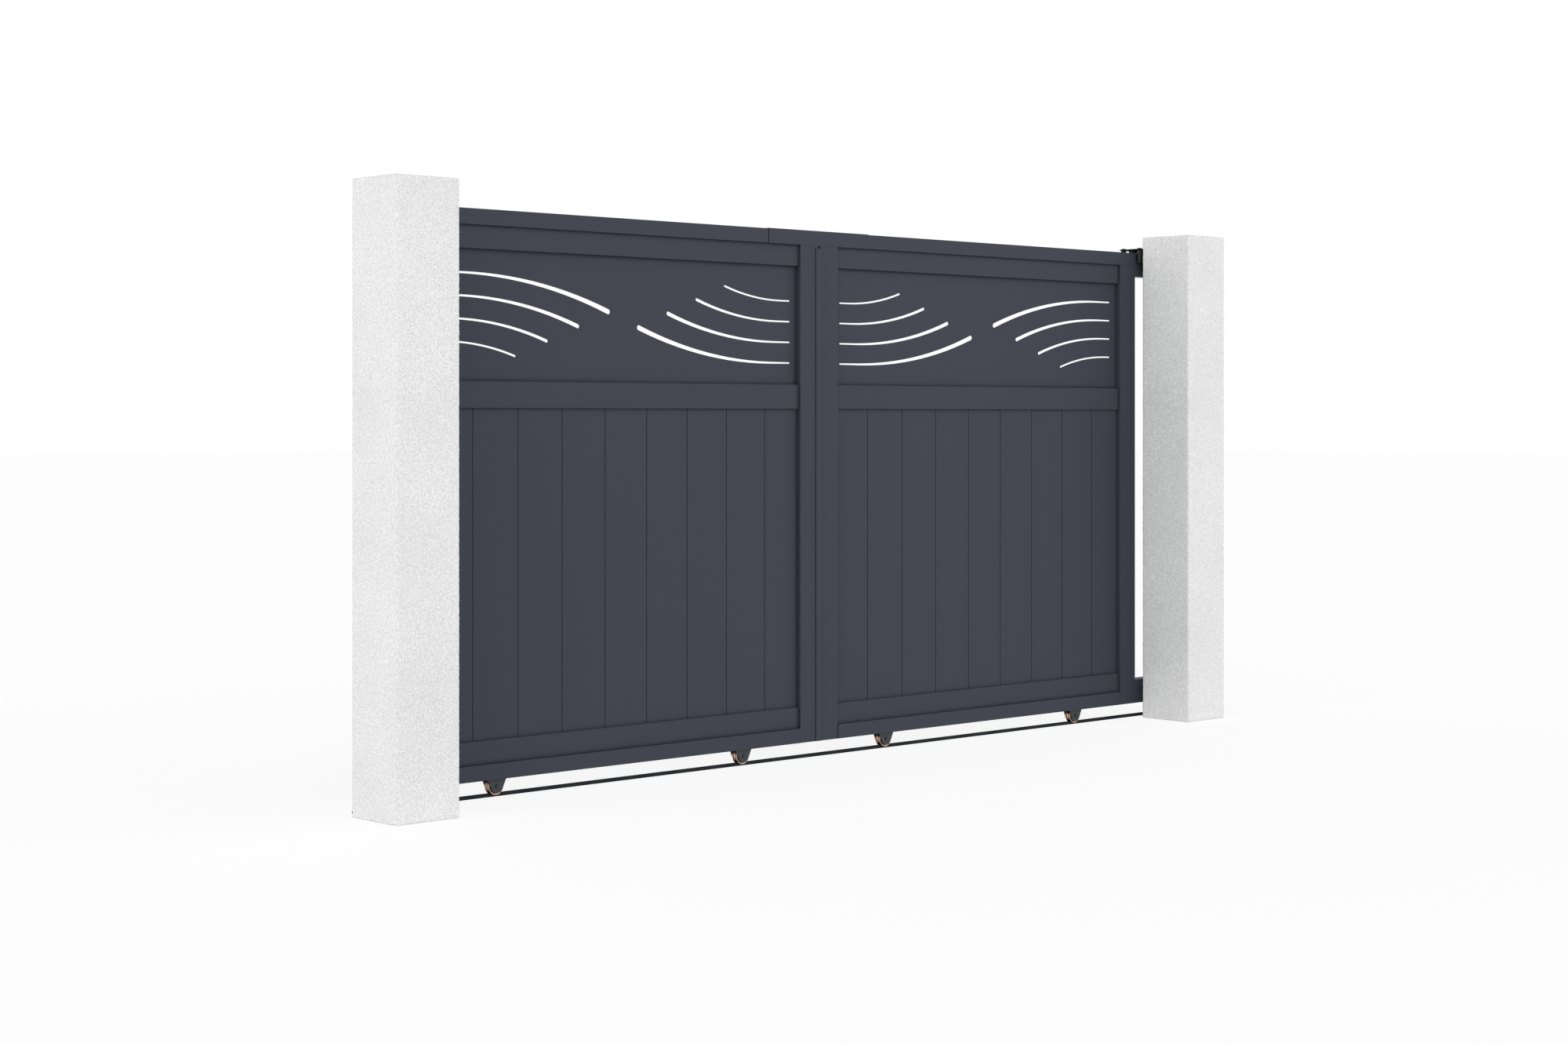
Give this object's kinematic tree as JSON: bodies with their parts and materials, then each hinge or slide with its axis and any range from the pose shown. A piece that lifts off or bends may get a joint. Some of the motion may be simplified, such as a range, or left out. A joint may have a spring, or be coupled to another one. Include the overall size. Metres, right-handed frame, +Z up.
{
  "type": "sliding driveway gate",
  "caption": "Sliding driveway gate: a framed dark leaf, boarded below with swept slots above, rolling on grooved wheels along a low ground track between two plain pale pillars.",
  "frame": {"origin": "middle of the left pillar's foot, on the ground", "axes": "+X along the gate towards the right pillar, the way the leaf opens; +Y away from the street side; +Z up"},
  "size_m": [3.681, 0.296, 1.653],
  "materials": {
    "leaf_paint": "fine satin powder coat, anthracite",
    "board_paint": "fine satin powder coat, anthracite",
    "carrier_steel": "dark coated steel",
    "bolt_steel": "dull zinc plate",
    "wheel_bronze": "turned, copper brown",
    "pillar_render": "smooth pale render",
    "track_steel": "dark steel",
    "guide_black": "black satin",
    "roller_nylon": "dark nylon",
    "pad_rubber": "matt black"
  },
  "bodies": {
    "pillars_and_track": {"left_pillar": "pillar_render", "right_pillar": "pillar_render", "ground_track": "track_steel", "guide_bracket": "guide_black", "guide_roller_rear": "roller_nylon", "guide_roller_front": "roller_nylon", "guide_bolts": "bolt_steel", "guide_anchors": "bolt_steel", "closing_catch": "guide_black", "catch_pad": "pad_rubber"},
    "leaf": {"top_rail_left": "leaf_paint", "top_rail_right": "leaf_paint", "bottom_rail_left": "leaf_paint", "bottom_rail_right": "leaf_paint", "meeting_stile_left": "leaf_paint", "meeting_stile_right": "leaf_paint", "outer_stile_left": "leaf_paint", "outer_stile_right": "leaf_paint", "inner_top_rail_left": "leaf_paint", "inner_top_rail_right": "leaf_paint", "mid_rail_left": "leaf_paint", "mid_rail_right": "leaf_paint", "inner_bottom_rail_left": "leaf_paint", "inner_bottom_rail_right": "leaf_paint", "board_panel_left": "board_paint", "board_panel_right": "board_paint", "slotted_sheet_left": "leaf_paint", "slotted_sheet_right": "leaf_paint", "cover_strip": "leaf_paint", "splice_sleeve": "leaf_paint", "tail_top_rail": "leaf_paint", "tail_bottom_rail": "leaf_paint", "tail_post": "leaf_paint", "carrier_1": "carrier_steel", "carrier_2": "carrier_steel", "carrier_3": "carrier_steel", "carrier_4": "carrier_steel", "axle_1": "bolt_steel", "axle_2": "bolt_steel", "axle_3": "bolt_steel", "axle_4": "bolt_steel"},
    "wheel_1": {"wheel_1": "wheel_bronze"},
    "wheel_2": {"wheel_2": "wheel_bronze"},
    "wheel_3": {"wheel_3": "wheel_bronze"},
    "wheel_4": {"wheel_4": "wheel_bronze"}
  },
  "joints": [
    {"name": "leaf_slide", "type": "slide", "parent": "pillars_and_track", "child": "leaf", "axis": [1, 0, 0], "range_m": [0, 2.99]},
    {"name": "wheel_1_spin", "type": "hinge", "parent": "leaf", "child": "wheel_1", "pos_m": [0.3985, 0.149, 0.028], "axis": [0, 1, 0], "continuous": true},
    {"name": "wheel_2_spin", "type": "hinge", "parent": "leaf", "child": "wheel_2", "pos_m": [1.3145, 0.149, 0.028], "axis": [0, 1, 0], "continuous": true},
    {"name": "wheel_3_spin", "type": "hinge", "parent": "leaf", "child": "wheel_3", "pos_m": [1.9225, 0.149, 0.028], "axis": [0, 1, 0], "continuous": true},
    {"name": "wheel_4_spin", "type": "hinge", "parent": "leaf", "child": "wheel_4", "pos_m": [2.8385, 0.149, 0.028], "axis": [0, 1, 0], "continuous": true}
  ],
  "couplings": [
    {"joint": "wheel_1_spin", "follows": "leaf_slide", "rad_per_m": 56.497},
    {"joint": "wheel_2_spin", "follows": "leaf_slide", "rad_per_m": 56.497},
    {"joint": "wheel_3_spin", "follows": "leaf_slide", "rad_per_m": 56.497},
    {"joint": "wheel_4_spin", "follows": "leaf_slide", "rad_per_m": 56.497}
  ]
}
